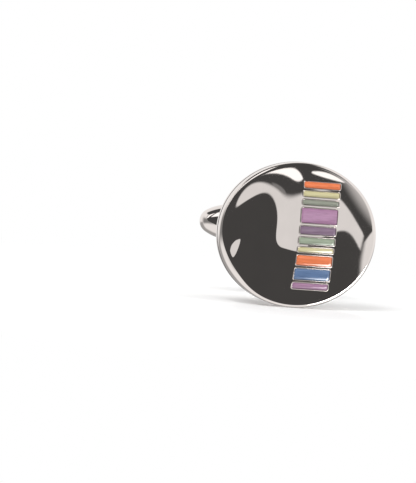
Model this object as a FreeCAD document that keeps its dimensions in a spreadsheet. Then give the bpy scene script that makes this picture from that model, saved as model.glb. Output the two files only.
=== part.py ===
import FreeCAD, Part
import math
import os

import Sketcher

# A cufflink: a domed oval head with a row of ten enamel bars, and a swivel toggle on a short post.
# X runs along the oval's long axis, Z runs up the row of bars and the face looks along -Y.
# The origin is the middle of the head's back face, where the cuff lies. All sizes are in millimetres.

V = FreeCAD.Vector

# The bars from the top of the row down: node, the cell that holds the bar's height, and that height.
BARS = [
    ("enamel_01_orange", "orange_top_height", 0.66),
    ("enamel_02_straw", "straw_top_height", 0.60),
    ("enamel_03_sage", "sage_height", 0.54),
    ("enamel_04_lilac", "lilac_wide_height", 1.70),
    ("enamel_05_plum", "plum_height", 0.88),
    ("enamel_06_green", "green_height", 0.74),
    ("enamel_07_straw", "straw_low_height", 0.54),
    ("enamel_08_orange", "orange_low_height", 1.14),
    ("enamel_09_blue", "blue_height", 1.29),
    ("enamel_10_lilac", "lilac_low_height", 0.67),
]

SIZES = {
    "bar_length": 4.39,
    "bar_gap": 0.42,
    "bar_corner": 0.14,
    "row_offset": 2.0,
    "row_rise": 0.10,
    "row_lean_deg": 2.2,
    "row_end_margin": 2.28,
    "oval_stretch": 1.9,
    "cell_depth": 0.45,
    "enamel_proud": 0.14,
    "frame_width": 0.14,
    "frame_rise": 0.14,
    "crown_rise": 0.89,
    "shoulder_drop": 0.06,
    "swell_rise": 0.57,
    "swell_reach": 4.96,
    "swell_offset": 1.79,
    "swell_drop": 2.82,
    "scoop_depth": 0.63,
    "scoop_width": 1.65,
    "scoop_length": 3.33,
    "scoop_offset": 6.51,
    "scoop_drop": 0.55,
    "scoop_lean_deg": 15.4,
    "front_round": 0.55,
    "seam_round": 0.20,
    "back_round": 0.35,
    "shell_band": 0.45,
    "plate_band": 0.35,
    "hollow_wall": 2.9,
    "hollow_gap": 0.15,
    "spigot_height": 0.35,
    "spigot_gap": 0.05,
    "foot_gap": 0.03,
    "flange_thickness": 0.45,
    "flange_step": 1.1,
    "collar_step": 0.6,
    "collar_height": 0.9,
    "collar_round": 0.3,
    "flare_width": 4.0,
    "flare_length": 2.5,
    "tongue_width": 2.4,
    "tongue_thickness": 1.6,
    "tenon_shoulder": 1.2,
    "tenon_cheek": 0.3,
    "tenon_gap": 0.02,
    "cam_flat": 0.60,
    "cam_gap": 0.04,
    "swing_gap": 0.30,
    "slot_gap": 0.10,
    "toggle_length": 17.2,
    "toggle_wall": 0.316,
    "nose_length": 3.6,
    "nose_tip": 1.5,
    "pin_diameter": 1.1,
    "pin_running_gap": 0.03,
    "pin_seat_gap": 0.01,
    "pin_recess": 0.02,
    "pin_round": 0.08,
    "spring_thickness": 0.22,
    "spring_edge_gap": 0.15,
    "spring_inset": 0.6,
    "relief_depth": 0.20,
    "relief_width": 5.0,
    "rivet_diameter": 0.7,
    "rivet_head_step": 0.2,
    "rivet_head_height": 0.2,
    "rivet_inset": 0.9,
}
SIZES.update({cell: height for _, cell, height in BARS})

# Sizes that follow from the cells, written so that a sketch or a feature can be bound to them.
ROW = "(" + " + ".join("sizes." + cell for _, cell, _ in BARS) + f" + {len(BARS) - 1} * sizes.bar_gap)"
HEAD_HEIGHT = f"({ROW} + 2 * sizes.row_end_margin)"
HEAD_WIDTH = f"({HEAD_HEIGHT} + sizes.oval_stretch)"
PLATE = "(sizes.back_round + sizes.seam_round + sizes.plate_band)"
FOOT_FRONT = f"({PLATE} + sizes.spigot_height + sizes.flange_thickness)"
BOSS = "(sizes.flare_width + 2 * sizes.collar_step)"
PIVOT = "(sizes.collar_height + sizes.flare_length + sizes.swing_gap + sizes.toggle_length / 2)"
SPRING_FACE = "(sizes.tongue_width / 2 + (sqrt(2) - 1) * sizes.cam_flat / 2 + sizes.cam_gap)"
SLOT_FLOOR = f"({SPRING_FACE} + sizes.spring_thickness)"
TOGGLE_RADIUS = f"({SLOT_FLOOR} + sizes.relief_depth + sizes.toggle_wall)"
SLOT_WIDTH = "(sizes.tongue_thickness + 2 * sizes.slot_gap)"
SHOULDER = "(sizes.toggle_length / 2 - sizes.nose_length)"
SPRING_HALF = f"({SHOULDER} - sizes.spring_inset)"
RIVET_PLACE = f"({SPRING_HALF} - sizes.rivet_inset)"

doc = FreeCAD.newDocument("cufflink")
sizes = doc.addObject("Spreadsheet::Sheet", "sizes")
for line, (alias, number) in enumerate(SIZES.items(), 1):
    sizes.set(f"A{line}", alias)
    sizes.set(f"B{line}", str(number))
    sizes.setAlias(f"B{line}", alias)
doc.recompute()


def size(alias):
    """A driving dimension, read from the sheet."""
    return float(sizes.get(alias))


def bind_all(thing, **bindings):
    """Bind properties of a document object to expressions on the sheet."""
    for name, expression in bindings.items():
        thing.setExpression(name.replace("__", "."), expression)
    return thing


def new_body(label, x="0", y="0"):
    """A body with its origin at x, y in the part's frame."""
    body = doc.addObject("PartDesign::Body", label)
    body.Label = label
    return bind_all(body, Placement__Base__x=x, Placement__Base__y=y)


def new_sketch(body, name, role="XY_Plane"):
    """A sketch on one of the body's own origin planes."""
    sketch = body.newObject("Sketcher::SketchObject", name)
    plane = next(part for part in body.Origin.OriginFeatures if part.Role == role)
    sketch.AttachmentSupport = [(plane, "")]
    sketch.MapMode = "FlatFace"
    return sketch


def bound(sketch, name, expression, kind, *where, start=1.0):
    """Add a dimension to a sketch, first as drawn, and bind it to the sheet."""
    index = sketch.addConstraint(Sketcher.Constraint(kind, *where, start))
    sketch.renameConstraint(index, name)
    sketch.setExpression("Constraints." + name, expression)


def polygon(sketch, corners):
    """A closed outline whose corners are bound in x and y, each measured from the sketch's origin."""
    count = len(corners)
    turns = [2 * math.pi * i / count for i in range(count)]
    spread = [V(math.cos(turn), math.sin(turn), 0) for turn in turns]
    for i in range(count):
        sketch.addGeometry(Part.LineSegment(spread[i], spread[(i + 1) % count]))
    for i, (x, y) in enumerate(corners):
        sketch.addConstraint(Sketcher.Constraint("Coincident", i - 1 if i else count - 1, 2, i, 1))
        bound(sketch, f"x{i}", x, "DistanceX", -1, 1, i, 1)
        bound(sketch, f"y{i}", y, "DistanceY", -1, 1, i, 1)


def rectangle(sketch, left, right, low, high):
    """A rectangle from its four sides."""
    polygon(sketch, [(left, low), (right, low), (right, high), (left, high)])


def circle(sketch, x, y, diameter):
    """A circle at x, y."""
    round_edge = sketch.addGeometry(Part.Circle(V(0.1, 0.1, 0), V(0, 0, 1), 1.0))
    bound(sketch, "across", diameter, "Diameter", round_edge)
    bound(sketch, "x", x, "DistanceX", -1, 1, round_edge, 3)
    bound(sketch, "y", y, "DistanceY", -1, 1, round_edge, 3)


def through(body, kind, sketch, length):
    """A pad or pocket of a sketch, half its length to either side."""
    feature = body.newObject("PartDesign::" + kind, sketch.Name + "_" + kind.lower())
    feature.Profile = sketch
    feature.SideType = "Symmetric"
    return bind_all(feature, Length=length)


def turned(body, sketch, axis):
    """A full revolution of a sketch about one of its own axes."""
    feature = body.newObject("PartDesign::Revolution", sketch.Name + "_turned")
    feature.Profile = sketch
    feature.ReferenceAxis = (sketch, [axis])
    feature.Angle = 360
    return feature


def softened(body, kind, base, amount, picks):
    """A fillet on those of a feature's edges that picks() accepts."""
    doc.recompute()
    names = [f"Edge{n}" for n, edge in enumerate(base.Shape.Edges, 1) if picks(edge)]
    feature = body.newObject("PartDesign::" + kind, base.Name + "_" + kind.lower())
    feature.Base = (base, names)
    return bind_all(feature, Radius=amount)


def oval(name, width, height, back, depth):
    """An upright oval prism from y = -back forward over depth."""
    edge = doc.addObject("Part::Ellipse", name + "_edge")
    edge.Placement = FreeCAD.Placement(V(0, 0, 0), FreeCAD.Rotation(V(1, 0, 0), 90))
    bind_all(edge, MajorRadius=f"{width} / 2", MinorRadius=f"{height} / 2", Placement__Base__y=f"-({back})")
    prism = doc.addObject("Part::Extrusion", name)
    prism.Base = edge
    prism.DirMode = "Custom"
    prism.Dir = V(0, -1, 0)
    prism.Solid = True
    return bind_all(prism, LengthFwd=depth)


def boolean(kind, name, base, tool):
    """A Part boolean of two objects."""
    result = doc.addObject("Part::" + kind, name)
    result.Base = base
    result.Tool = tool
    return result


def gathered(name, pieces):
    """Several separate solids as one tool."""
    group = doc.addObject("Part::Compound", name)
    group.Links = pieces
    return group


def rounded(name, base, radii):
    """Fillets on those edges of an object for which radii(edge) gives a radius."""
    doc.recompute()
    chosen = [(n, radii(edge)) for n, edge in enumerate(base.Shape.Edges, 1)]
    result = doc.addObject("Part::Fillet", name)
    result.Base = base
    result.Edges = [(n, radius, radius) for n, radius in chosen if radius]
    return result


row_length = sum(size(cell) for _, cell, _ in BARS) + (len(BARS) - 1) * size("bar_gap")
half_height = row_length / 2 + size("row_end_margin")
half_width = half_height + size("oval_stretch") / 2
plate = size("back_round") + size("seam_round") + size("plate_band")
edge_height = plate + size("seam_round") + size("shell_band") + size("front_round")


def face_height(x, z):
    """How far the face stands in front of the back face: a shallow dome, a broad swell and a thumb scoop.

    Dome = (rise - shoulder * r2) * (1 - r2), with r2 = x2/a2 + z2/b2.
    Swell = rise * exp(-distance2 / reach2) about its centre, left of the row and below the middle.
    Scoop = depth * exp(-(across / width)2 - (along / length)2), its length leaning from upright.
    """
    r2 = (x / half_width) ** 2 + (z / half_height) ** 2
    dome = (size("crown_rise") - size("shoulder_drop") * r2) * (1 - r2)
    away = (x + size("swell_offset")) ** 2 + (z + size("swell_drop")) ** 2
    swell = size("swell_rise") * math.exp(-away / size("swell_reach") ** 2)
    lean = math.radians(size("scoop_lean_deg"))
    side = x + size("scoop_offset")
    up = z + size("scoop_drop")
    across = (side * math.cos(lean) - up * math.sin(lean)) / size("scoop_width")
    along = (side * math.sin(lean) + up * math.cos(lean)) / size("scoop_length")
    scoop = size("scoop_depth") * math.exp(-(across**2) - along**2)
    return edge_height + dome + swell - scoop


def face_block(name, lift):
    """All that lies behind the face when it is raised by lift: a smooth sheet pushed back past the head."""
    steps = 32
    over = 1.1
    places = [over * (2 * i / steps - 1) for i in range(steps + 1)]
    rows = []
    for across in places:
        x = across * half_width
        heights = [face_height(x, up * half_height) + lift for up in places]
        rows.append([V(x, -high, up * half_height) for high, up in zip(heights, places)])
    sheet = Part.BSplineSurface()
    sheet.interpolate(rows)
    block = doc.addObject("Part::Feature", name)
    block.Shape = sheet.toShape().extrude(V(0, edge_height + 3 * size("crown_rise"), 0))
    return block


def bar_block(name, cell, top, grow):
    """A round-cornered block over one bar, from its cell's floor to well in front of the face."""
    middle = top - size(cell) / 2
    centre = size("row_offset") + middle * math.tan(math.radians(size("row_lean_deg")))
    floor = face_height(centre, middle) - size("cell_depth")
    block = doc.addObject("Part::Box", name + "_block")
    bind_all(block, Length=f"sizes.bar_length + 2 * {grow}", Height=f"sizes.{cell} + 2 * {grow}")
    bind_all(block, Width="sizes.crown_rise + 2 * sizes.cell_depth")
    doc.recompute()
    low = V(centre - block.Length.Value / 2, -floor - block.Width.Value, middle - block.Height.Value / 2)
    block.Placement.Base = low
    corner = size("bar_corner") + (block.Length.Value - size("bar_length")) / 2
    return rounded(name, block, lambda edge: corner if edge.BoundBox.YLength > 2 * size("cell_depth") else 0)


# The row of bars: a block for each bar's cell and one for the frame around it.
fills = []
frames = []
top = row_length / 2 + size("row_rise")
for node, cell, _ in BARS:
    fills.append(bar_block("cell_" + node, cell, top, "0"))
    frames.append(bar_block("frame_" + node, cell, top, "sizes.frame_width"))
    top -= size(cell) + size("bar_gap")

# The head's front shell: domed blank, rolled edge, raised frames, hollow back and cells.
blank = boolean(
    "Common",
    "shell_blank",
    oval("shell_oval", HEAD_WIDTH, HEAD_HEIGHT, PLATE, "3 * sizes.crown_rise + 3 * sizes.front_round"),
    face_block("face_behind", 0),
)


def shell_radius(edge):
    """The front rim gets the rolled edge, the back rim the seam's small one."""
    if edge.BoundBox.XLength < half_width:
        return 0
    return size("seam_round") if edge.BoundBox.YLength < 0.01 else size("front_round")


rolled = rounded("shell_rolled", blank, shell_radius)
frame_tops = face_block("frame_behind", size("frame_rise"))
raised = boolean("Common", "frames_raised", gathered("frame_blocks", frames), frame_tops)
framed = boolean("Fuse", "shell_framed", rolled, raised)
hollow = oval(
    "shell_hollow",
    f"({HEAD_WIDTH} - 2 * sizes.hollow_wall)",
    f"({HEAD_HEIGHT} - 2 * sizes.hollow_wall)",
    PLATE,
    "sizes.spigot_height + sizes.flange_thickness + sizes.hollow_gap",
)
hollowed = boolean("Cut", "shell_hollowed", framed, hollow)
head_shell = boolean("Cut", "head_shell", hollowed, gathered("cells", fills))

# The enamel: each fill takes its cell's block up to a surface that stands a little proud of the face.
proud = face_block("enamel_behind", size("enamel_proud"))
enamel = [boolean("Common", node, block, proud) for (node, _, _), block in zip(BARS, fills)]

# The back plate: same oval as the shell, a step that locates in the hollow and a hole for the foot.
plate_blank = oval("plate_oval", HEAD_WIDTH, HEAD_HEIGHT, "0", PLATE)


def plate_radius(edge):
    """The plate's rear rim is rounder than the one at the seam."""
    if edge.BoundBox.XLength < half_width:
        return 0
    return size("back_round") if edge.BoundBox.YMin > -plate / 2 else size("seam_round")


spigot = oval(
    "plate_spigot",
    f"({HEAD_WIDTH} - 2 * sizes.hollow_wall - 2 * sizes.spigot_gap)",
    f"({HEAD_HEIGHT} - 2 * sizes.hollow_wall - 2 * sizes.spigot_gap)",
    f"{PLATE} / 2",
    f"{PLATE} / 2 + sizes.spigot_height",
)
stepped = boolean("Fuse", "plate_stepped", rounded("plate_rounded", plate_blank, plate_radius), spigot)
foot_hole = doc.addObject("Part::Cylinder", "foot_hole")
foot_hole.Placement = FreeCAD.Placement(V(0, 0, 0), FreeCAD.Rotation(V(1, 0, 0), 90))
bind_all(foot_hole, Radius=f"{BOSS} / 2 + sizes.foot_gap", Height=f"2 * {FOOT_FRONT}")
bind_all(foot_hole, Placement__Base__y=FOOT_FRONT)
back_plate = boolean("Cut", "back_plate", stepped, foot_hole)

# The post's foot: a flange inside the head, a boss through the back plate and a collar behind it.
post_foot = new_body("post_foot")
foot_side = new_sketch(post_foot, "foot_side")
polygon(
    foot_side,
    [
        ("0", f"-{FOOT_FRONT}"),
        (f"{BOSS} / 2 + sizes.flange_step", f"-{FOOT_FRONT}"),
        (f"{BOSS} / 2 + sizes.flange_step", f"-({PLATE} + sizes.spigot_height)"),
        (f"{BOSS} / 2", f"-({PLATE} + sizes.spigot_height)"),
        (f"{BOSS} / 2", "sizes.collar_height"),
        ("0", "sizes.collar_height"),
    ],
)
foot_turned = turned(post_foot, foot_side, "V_Axis")
collar_edge = softened(
    post_foot,
    "Fillet",
    foot_turned,
    "sizes.collar_round",
    lambda edge: edge.BoundBox.YMin > size("collar_height") / 2 and edge.BoundBox.XLength > 1,
)
tenon_slot = new_sketch(post_foot, "tenon_slot")
rectangle(
    tenon_slot,
    "-(sizes.flare_width / 2 - sizes.tenon_shoulder + sizes.tenon_gap)",
    "sizes.flare_width / 2 - sizes.tenon_shoulder + sizes.tenon_gap",
    f"-({FOOT_FRONT} + sizes.collar_height)",
    "2 * sizes.collar_height",
)
tenon_room = "sizes.tongue_thickness - 2 * sizes.tenon_cheek + 2 * sizes.tenon_gap"
through(post_foot, "Pocket", tenon_slot, tenon_room)

# The post's stem: flared at the foot, a flat tongue with a squared cam end, and a tenon.
post_stem = new_body("post_stem")
stem_front = new_sketch(post_stem, "stem_front")
polygon(
    stem_front,
    [
        ("-sizes.flare_width / 2", "sizes.collar_height"),
        ("sizes.flare_width / 2", "sizes.collar_height"),
        ("sizes.tongue_width / 2", "sizes.collar_height + sizes.flare_length"),
        ("sizes.tongue_width / 2", f"{PIVOT} + sizes.tongue_width / 2"),
        ("-sizes.tongue_width / 2", f"{PIVOT} + sizes.tongue_width / 2"),
        ("-sizes.tongue_width / 2", "sizes.collar_height + sizes.flare_length"),
    ],
)
stem_pad = through(post_stem, "Pad", stem_front, "sizes.tongue_thickness")
stem_tenon = new_sketch(post_stem, "stem_tenon")
rectangle(
    stem_tenon,
    "-(sizes.flare_width / 2 - sizes.tenon_shoulder)",
    "sizes.flare_width / 2 - sizes.tenon_shoulder",
    f"-{FOOT_FRONT}",
    "sizes.collar_height + sizes.flare_length / 2",
)
tenon_pad = through(post_stem, "Pad", stem_tenon, "sizes.tongue_thickness - 2 * sizes.tenon_cheek")
stem_end = size("collar_height") + size("flare_length") + size("swing_gap") + size("toggle_length") / 2
cam_round = softened(
    post_stem,
    "Fillet",
    tenon_pad,
    "(sizes.tongue_width - sizes.cam_flat) / 2",
    lambda edge: edge.BoundBox.YMin > stem_end and edge.BoundBox.ZLength > size("tongue_thickness") / 2,
)
stem_hole = new_sketch(post_stem, "stem_hole")
circle(stem_hole, "0", PIVOT, "sizes.pin_diameter + 2 * sizes.pin_running_gap")
through(post_stem, "Pocket", stem_hole, "2 * sizes.tongue_thickness")

# The toggle: a bullet-nosed bar about the pivot, slotted towards the head and out through its right nose.
# Each nose is a small tip arc on the axis, run into the flank by a wide shoulder arc.
toggle_bar = new_body("toggle_bar", y=PIVOT)
bar_side = new_sketch(toggle_bar, "bar_side")
left_tip = bar_side.addGeometry(
    Part.ArcOfCircle(Part.Circle(V(-7.1, 0, 0), V(0, 0, 1), 1.5), math.radians(122), math.pi)
)
left_shoulder = bar_side.addGeometry(
    Part.ArcOfCircle(Part.Circle(V(-5, -3.37, 0), V(0, 0, 1), 5.47), math.pi / 2, math.radians(122))
)
flank = bar_side.addGeometry(Part.LineSegment(V(-5, 2.1, 0), V(5, 2.1, 0)))
right_shoulder = bar_side.addGeometry(
    Part.ArcOfCircle(Part.Circle(V(5, -3.37, 0), V(0, 0, 1), 5.47), math.radians(58), math.pi / 2)
)
right_tip = bar_side.addGeometry(
    Part.ArcOfCircle(Part.Circle(V(7.1, 0, 0), V(0, 0, 1), 1.5), 0, math.radians(58))
)
axle = bar_side.addGeometry(Part.LineSegment(V(-8.6, 0, 0), V(8.6, 0, 0)))
for constraint in [
    ("Tangent", left_tip, 1, left_shoulder, 2),
    ("Tangent", left_shoulder, 1, flank, 1),
    ("Tangent", flank, 2, right_shoulder, 2),
    ("Tangent", right_shoulder, 1, right_tip, 2),
    ("Coincident", left_tip, 2, axle, 1),
    ("Coincident", right_tip, 1, axle, 2),
    ("PointOnObject", left_tip, 3, -1),
    ("PointOnObject", right_tip, 3, -1),
    ("PointOnObject", axle, 1, -1),
    ("PointOnObject", axle, 2, -1),
    ("Horizontal", flank),
    ("Equal", left_tip, right_tip),
]:
    bar_side.addConstraint(Sketcher.Constraint(*constraint))
bound(bar_side, "tip_radius", "sizes.nose_tip", "Radius", left_tip, start=1.5)
bound(bar_side, "bar_radius", TOGGLE_RADIUS, "DistanceY", -1, 1, flank, 1, start=2.1)
bound(bar_side, "left_end", "-sizes.toggle_length / 2", "DistanceX", -1, 1, axle, 1, start=-8.6)
bound(bar_side, "right_end", "sizes.toggle_length / 2", "DistanceX", -1, 1, axle, 2, start=8.6)
bound(bar_side, "left_flank", f"-{SHOULDER}", "DistanceX", -1, 1, flank, 1, start=-5)
bound(bar_side, "right_flank", SHOULDER, "DistanceX", -1, 1, flank, 2, start=5)
turned(toggle_bar, bar_side, "H_Axis")
bar_slot = new_sketch(toggle_bar, "bar_slot")
rectangle(bar_slot, f"-{SHOULDER}", "sizes.toggle_length", f"-2 * {TOGGLE_RADIUS}", SLOT_FLOOR)
through(toggle_bar, "Pocket", bar_slot, SLOT_WIDTH)
spring_relief = new_sketch(toggle_bar, "spring_relief")
rectangle(
    spring_relief,
    "-sizes.relief_width / 2",
    "sizes.relief_width / 2",
    SPRING_FACE,
    f"{SLOT_FLOOR} + sizes.relief_depth",
)
through(toggle_bar, "Pocket", spring_relief, f"{SLOT_WIDTH} - 2 * sizes.spring_edge_gap")
bar_pin_hole = new_sketch(toggle_bar, "bar_pin_hole")
circle(bar_pin_hole, "0", "0", "sizes.pin_diameter + 2 * sizes.pin_seat_gap")
through(toggle_bar, "Pocket", bar_pin_hole, f"4 * {TOGGLE_RADIUS}")
bar_rivet_hole = new_sketch(toggle_bar, "bar_rivet_hole", "XZ_Plane")
circle(bar_rivet_hole, f"-{RIVET_PLACE}", "0", "sizes.rivet_diameter + 2 * sizes.pin_seat_gap")
through(toggle_bar, "Pocket", bar_rivet_hole, f"4 * {TOGGLE_RADIUS}")

# The pivot pin: set in the toggle, running in the stem, its ends just inside the bar's round.
pivot_pin = new_body("pivot_pin", y=PIVOT)
pin_round = new_sketch(pivot_pin, "pin_round")
circle(pin_round, "0", "0", "sizes.pin_diameter")
pin_half = f"(sqrt({TOGGLE_RADIUS}^2 - sizes.pin_diameter^2 / 4) - sizes.pin_recess)"
pin_pad = through(pivot_pin, "Pad", pin_round, f"2 * {pin_half}")
softened(pivot_pin, "Fillet", pin_pad, "sizes.pin_round", lambda edge: edge.BoundBox.ZLength < 0.01)

# The leaf spring: a flat strip on the slot's floor, over the relief that it bends into.
leaf_spring = new_body("leaf_spring", y=PIVOT)
leaf_side = new_sketch(leaf_spring, "leaf_side")
rectangle(leaf_side, f"-{SPRING_HALF}", SPRING_HALF, SPRING_FACE, SLOT_FLOOR)
through(leaf_spring, "Pad", leaf_side, f"{SLOT_WIDTH} - 2 * sizes.spring_edge_gap")
leaf_hole = new_sketch(leaf_spring, "leaf_hole", "XZ_Plane")
circle(leaf_hole, f"-{RIVET_PLACE}", "0", "sizes.rivet_diameter + 2 * sizes.pin_seat_gap")
through(leaf_spring, "Pocket", leaf_hole, f"4 * {TOGGLE_RADIUS}")

# The rivet that holds the spring: head on the spring, shank through to just inside the bar's round.
spring_rivet = new_body("spring_rivet", x=f"-{RIVET_PLACE}", y=PIVOT)
rivet_side = new_sketch(spring_rivet, "rivet_side")
rivet_end = f"sqrt({TOGGLE_RADIUS}^2 - sizes.rivet_diameter^2 / 4) - sizes.pin_recess"
polygon(
    rivet_side,
    [
        ("0", f"{SPRING_FACE} - sizes.rivet_head_height"),
        ("sizes.rivet_diameter / 2 + sizes.rivet_head_step", f"{SPRING_FACE} - sizes.rivet_head_height"),
        ("sizes.rivet_diameter / 2 + sizes.rivet_head_step", SPRING_FACE),
        ("sizes.rivet_diameter / 2", SPRING_FACE),
        ("sizes.rivet_diameter / 2", rivet_end),
        ("0", rivet_end),
    ],
)
turned(spring_rivet, rivet_side, "V_Axis")

pieces = [head_shell, back_plate, *enamel, post_foot, post_stem]
pieces += [toggle_bar, pivot_pin, leaf_spring, spring_rivet]
doc.recompute()

for thing in doc.Objects:
    if {"Invalid", "Error"} & set(thing.State):
        raise RuntimeError(f"{thing.Name} failed: {thing.State}")
for piece in pieces:
    if piece.Shape.isNull() or not piece.Shape.isValid() or len(piece.Shape.Solids) != 1:
        raise RuntimeError(f"{piece.Label} is not one sound solid")

os.makedirs("parts", exist_ok=True)
for piece in pieces:
    piece.Shape.exportStep(f"parts/{piece.Label}.step")
    box = piece.Shape.BoundBox
    extent = f"{box.XLength:.2f} x {box.YLength:.2f} x {box.ZLength:.2f} mm"
    print(f"{piece.Label}: {extent}, {piece.Shape.Volume:.2f} mm3")
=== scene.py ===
"""Looks of a cufflink: a polished oval head with ten enamel bars, a post and a swivel toggle.

The CAD frame is loaded first and fixes every size. Lengths below are in millimetres unless a name says
otherwise. X runs along the oval's long axis, Z up the row of bars, and the face looks along -Y.
"""

import logging
import math
from dataclasses import dataclass, field
from enum import Enum
from functools import partialmethod

import bpy
import numpy as np
from mathutils import Matrix, Vector


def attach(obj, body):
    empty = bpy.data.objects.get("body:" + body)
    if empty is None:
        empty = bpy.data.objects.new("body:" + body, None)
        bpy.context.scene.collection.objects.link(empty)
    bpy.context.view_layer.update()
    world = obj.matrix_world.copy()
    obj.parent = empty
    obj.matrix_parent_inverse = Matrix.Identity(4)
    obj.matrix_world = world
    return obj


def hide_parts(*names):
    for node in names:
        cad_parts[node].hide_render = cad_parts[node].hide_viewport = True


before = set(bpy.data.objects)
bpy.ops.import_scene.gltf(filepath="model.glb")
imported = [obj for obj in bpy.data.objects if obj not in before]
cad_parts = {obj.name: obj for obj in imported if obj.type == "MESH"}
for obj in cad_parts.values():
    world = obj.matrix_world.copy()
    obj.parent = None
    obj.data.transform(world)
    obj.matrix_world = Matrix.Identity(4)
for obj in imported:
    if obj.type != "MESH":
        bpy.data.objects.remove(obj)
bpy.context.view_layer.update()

MM = 0.001
LOG = logging.getLogger("cufflink")
FINE_CREASE_DEG = 35.0
ARC_STEPS = 9
NOISE_MIDDLE = (0.3, 0.7)
MIX_FIRST = 6
MIX_SECOND = 7
MIX_RESULT = 2
NO_FANS = np.zeros((0, 3), int)

Pair = tuple[float, float]
Triple = tuple[float, float, float]
Rgba = tuple[float, float, float, float]
Array = np.ndarray
Piece = bpy.types.Object
Material = bpy.types.Material
Socket = bpy.types.NodeSocket


class Body(Enum):
    """The two moving bodies of the CAD frame."""

    HEAD = "head"
    TOGGLE = "toggle"


class Axis(Enum):
    """The axis that a profile is turned about: which of (across, beside, along) goes to X, Y and Z."""

    X = [2, 0, 1]
    Y = [0, 2, 1]
    Z = [0, 1, 2]


class Enamel(Enum):
    """The enamel colours, named as the record's slots are, each with its scene-linear colour."""

    ORANGE = ("orange_enamel", (0.75, 0.20, 0.08))
    STRAW = ("straw_enamel", (0.57, 0.52, 0.30))
    SAGE = ("sage_enamel", (0.26, 0.275, 0.225))
    LILAC = ("lilac_enamel", (0.36, 0.195, 0.315))
    PLUM = ("plum_enamel", (0.21, 0.14, 0.205))
    GREEN = ("green_enamel", (0.29, 0.34, 0.255))
    BLUE = ("blue_enamel", (0.115, 0.185, 0.33))

    def __init__(self, slot: str, colour: Triple) -> None:
        """Keeps the record's slot and the scene-linear colour."""
        self.slot = slot
        self.colour = colour


def closed_bands(rows: int, columns: int, loop: bool) -> Array:
    """Quads between neighbouring rings, each ring closed on itself.

    Args:
        rows: Number of rings.
        columns: Points in each ring.
        loop: Whether the last ring joins the first one.

    Returns:
        Vertex numbers, four to a face.
    """
    number = np.arange(rows * columns).reshape(rows, columns)
    after = np.roll(number, -1, 1)
    quads = np.stack([number, after, np.roll(after, -1, 0), np.roll(number, -1, 0)], -1)
    return (quads if loop else quads[:-1]).reshape(-1, 4)


def circle(steps: int) -> Array:
    """Even steps round the unit circle, (cos t, sin t) to a row."""
    turn = np.linspace(0, 2 * np.pi, steps, endpoint=False)
    return np.stack([np.cos(turn), np.sin(turn)], -1)


@dataclass
class Skin:
    """Closed surfaces gathered into one piece's mesh."""

    parts: list[tuple[Array, Array, Array]] = field(default_factory=list)
    count: int = 0

    def add(self, points: Array, quads: Array, fans: Array = NO_FANS) -> "Skin":
        """Adds one closed surface, turned so that its faces look outwards.

        The sign of its volume, that of the sum of a . (b x c) over its triangles, tells which way they look.

        Args:
            points: Vertices, three coordinates to a row.
            quads: Faces of four vertices.
            fans: Faces of three vertices.

        Returns:
            The skin itself.
        """
        triangles = np.concatenate([quads[:, [0, 1, 2]], quads[:, [0, 2, 3]], fans])
        a, b, c = (points[triangles[:, k]] for k in range(3))
        if np.einsum("ij,ij->", a, np.cross(b, c)) < 0:
            quads = quads[:, ::-1]
            fans = fans[:, ::-1]
        self.parts.append((points, quads + self.count, fans + self.count))
        self.count += len(points)
        return self

    def rings(self, stack: Array, poles: tuple[Array, Array] | None = None) -> "Skin":
        """Adds a stack of rings, closed by a pole at each end, or joined end to end where there are none.

        Args:
            stack: Rings by points by three coordinates.
            poles: The points before the first ring and after the last one.

        Returns:
            The skin itself.
        """
        rows, columns, _ = stack.shape
        points = stack.reshape(-1, 3)
        quads = closed_bands(rows, columns, loop=poles is None)
        if poles is None:
            return self.add(points, quads)
        step = np.arange(columns)
        after = np.roll(step, -1)
        base = (rows - 1) * columns
        low = np.stack([np.full(columns, rows * columns), after, step], -1)
        high = np.stack([np.full(columns, rows * columns + 1), base + step, base + after], -1)
        return self.add(np.concatenate([points, poles]), quads, np.concatenate([low, high]))

    def slab(self, top: Array, bottom: Array) -> "Skin":
        """Adds a closed slab between two grids that have the same outline.

        Args:
            top: Rows by columns by three coordinates.
            bottom: The other side, point for point.

        Returns:
            The skin itself.
        """
        rows, columns, _ = top.shape
        under = rows * columns
        number = np.arange(under).reshape(rows, columns)
        upper = [number[:-1, :-1], number[:-1, 1:], number[1:, 1:], number[1:, :-1]]
        upper = np.stack(upper, -1).reshape(-1, 4)
        edge = np.concatenate([number[0, :-1], number[:-1, -1], number[-1, :0:-1], number[:0:-1, 0]])
        after = np.roll(edge, -1)
        wall = np.stack([edge, edge + under, after + under, after], -1)
        quads = np.concatenate([upper, upper[:, ::-1] + under, wall])
        return self.add(np.concatenate([top.reshape(-1, 3), bottom.reshape(-1, 3)]), quads)

    def build(self, name: str, sharp_deg: float = 50.0) -> Piece:
        """Makes the object, at the origin, with its place in its mesh.

        Args:
            name: Name of the piece.
            sharp_deg: Edges that turn by more than this are shaded as creases.

        Returns:
            The new object, linked to the scene.
        """
        mesh = bpy.data.meshes.new(name)
        points, quads, fans = (np.concatenate(part) for part in zip(*self.parts))
        mesh.from_pydata((points * MM).tolist(), [], quads.tolist() + fans.tolist())
        mesh.validate()
        mesh.shade_smooth()
        mesh.set_sharp_from_angle(angle=math.radians(sharp_deg))
        piece = bpy.data.objects.new(name, mesh)
        bpy.context.scene.collection.objects.link(piece)
        return piece


def dress(piece: Piece, material: Material, body: Body, node: str) -> None:
    """Gives a piece its finish, its body and the CAD node that it stands for.

    Args:
        piece: The finished piece.
        material: Its finish.
        body: The body that it moves with.
        node: CAD node that it replaces.
    """
    piece.data.materials.clear()
    piece.data.materials.append(material)
    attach(piece, body.value)
    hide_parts(node)
    LOG.info("%s: %d faces on %s", piece.name, len(piece.data.polygons), body.value)


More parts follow.
